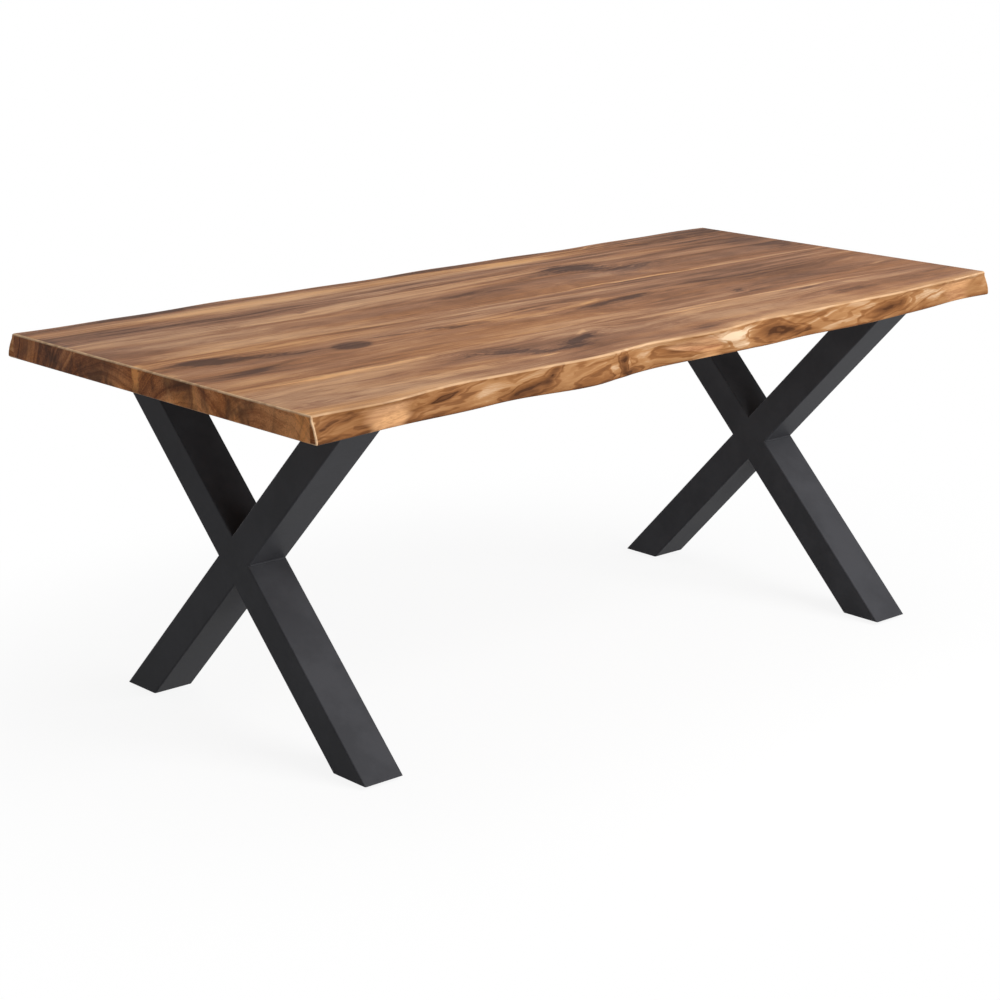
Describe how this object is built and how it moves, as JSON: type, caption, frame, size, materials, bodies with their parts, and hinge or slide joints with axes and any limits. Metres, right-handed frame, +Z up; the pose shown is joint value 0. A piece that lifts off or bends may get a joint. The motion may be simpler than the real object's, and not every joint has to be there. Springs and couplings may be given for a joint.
{
  "type": "dining table",
  "caption": "Rectangular dining table: a solid-wood live-edge top of edge-glued boards, bolted to black steel X-frame legs with levelling glides.",
  "frame": {"origin": "on the floor, below the middle of the top's overall box", "axes": "+X along the length of the top towards its right end, +Y to the back edge, +Z up"},
  "size_m": [1.9, 1.014, 0.76],
  "materials": {
    "top_wood": "oiled satin",
    "dowel_wood": "raw",
    "black_steel": "satin black powder coat",
    "zinc_steel": "zinc plated",
    "insert_brass": "turned",
    "black_nylon": "matt moulded",
    "pad_rubber": "matt"
  },
  "bodies": {
    "table": {"back_board": "top_wood", "middle_board": "top_wood", "front_board": "top_wood", "board_dowels": "dowel_wood", "left_long_leg": "black_steel", "left_upper_leg": "black_steel", "left_lower_leg": "black_steel", "left_top_plate": "black_steel", "left_front_foot_plate": "black_steel", "left_rear_foot_plate": "black_steel", "left_welds": "black_steel", "left_top_bolts": "zinc_steel", "left_top_washers": "zinc_steel", "left_wood_inserts": "insert_brass", "left_foot_nuts": "zinc_steel", "right_long_leg": "black_steel", "right_upper_leg": "black_steel", "right_lower_leg": "black_steel", "right_top_plate": "black_steel", "right_front_foot_plate": "black_steel", "right_rear_foot_plate": "black_steel", "right_welds": "black_steel", "right_top_bolts": "zinc_steel", "right_top_washers": "zinc_steel", "right_wood_inserts": "insert_brass", "right_foot_nuts": "zinc_steel"},
    "left_front_pad": {"left_front_glide_pad": "pad_rubber"},
    "left_front_glide": {"left_front_glide_base": "black_nylon", "left_front_glide_stud": "zinc_steel"},
    "left_rear_pad": {"left_rear_glide_pad": "pad_rubber"},
    "left_rear_glide": {"left_rear_glide_base": "black_nylon", "left_rear_glide_stud": "zinc_steel"},
    "right_front_pad": {"right_front_glide_pad": "pad_rubber"},
    "right_front_glide": {"right_front_glide_base": "black_nylon", "right_front_glide_stud": "zinc_steel"},
    "right_rear_pad": {"right_rear_glide_pad": "pad_rubber"},
    "right_rear_glide": {"right_rear_glide_base": "black_nylon", "right_rear_glide_stud": "zinc_steel"}
  },
  "joints": [
    {"name": "left_front_level", "type": "slide", "parent": "table", "child": "left_front_pad", "axis": [0, 0, -1], "range_m": [0, 0.01]},
    {"name": "left_front_turn", "type": "hinge", "parent": "left_front_pad", "child": "left_front_glide", "pos_m": [-0.715, -0.3157, 0.007], "axis": [0, 0, -1], "range_deg": [0, 2880]},
    {"name": "left_rear_level", "type": "slide", "parent": "table", "child": "left_rear_pad", "axis": [0, 0, -1], "range_m": [0, 0.01]},
    {"name": "left_rear_turn", "type": "hinge", "parent": "left_rear_pad", "child": "left_rear_glide", "pos_m": [-0.715, 0.3797, 0.007], "axis": [0, 0, -1], "range_deg": [0, 2880]},
    {"name": "right_front_level", "type": "slide", "parent": "table", "child": "right_front_pad", "axis": [0, 0, -1], "range_m": [0, 0.01]},
    {"name": "right_front_turn", "type": "hinge", "parent": "right_front_pad", "child": "right_front_glide", "pos_m": [0.715, -0.3157, 0.007], "axis": [0, 0, -1], "range_deg": [0, 2880]},
    {"name": "right_rear_level", "type": "slide", "parent": "table", "child": "right_rear_pad", "axis": [0, 0, -1], "range_m": [0, 0.01]},
    {"name": "right_rear_turn", "type": "hinge", "parent": "right_rear_pad", "child": "right_rear_glide", "pos_m": [0.715, 0.3797, 0.007], "axis": [0, 0, -1], "range_deg": [0, 2880]}
  ],
  "couplings": [
    {"joint": "left_front_level", "follows": "left_front_turn", "m_per_rad": 0.00019894},
    {"joint": "left_rear_level", "follows": "left_rear_turn", "m_per_rad": 0.00019894},
    {"joint": "right_front_level", "follows": "right_front_turn", "m_per_rad": 0.00019894},
    {"joint": "right_rear_level", "follows": "right_rear_turn", "m_per_rad": 0.00019894}
  ]
}
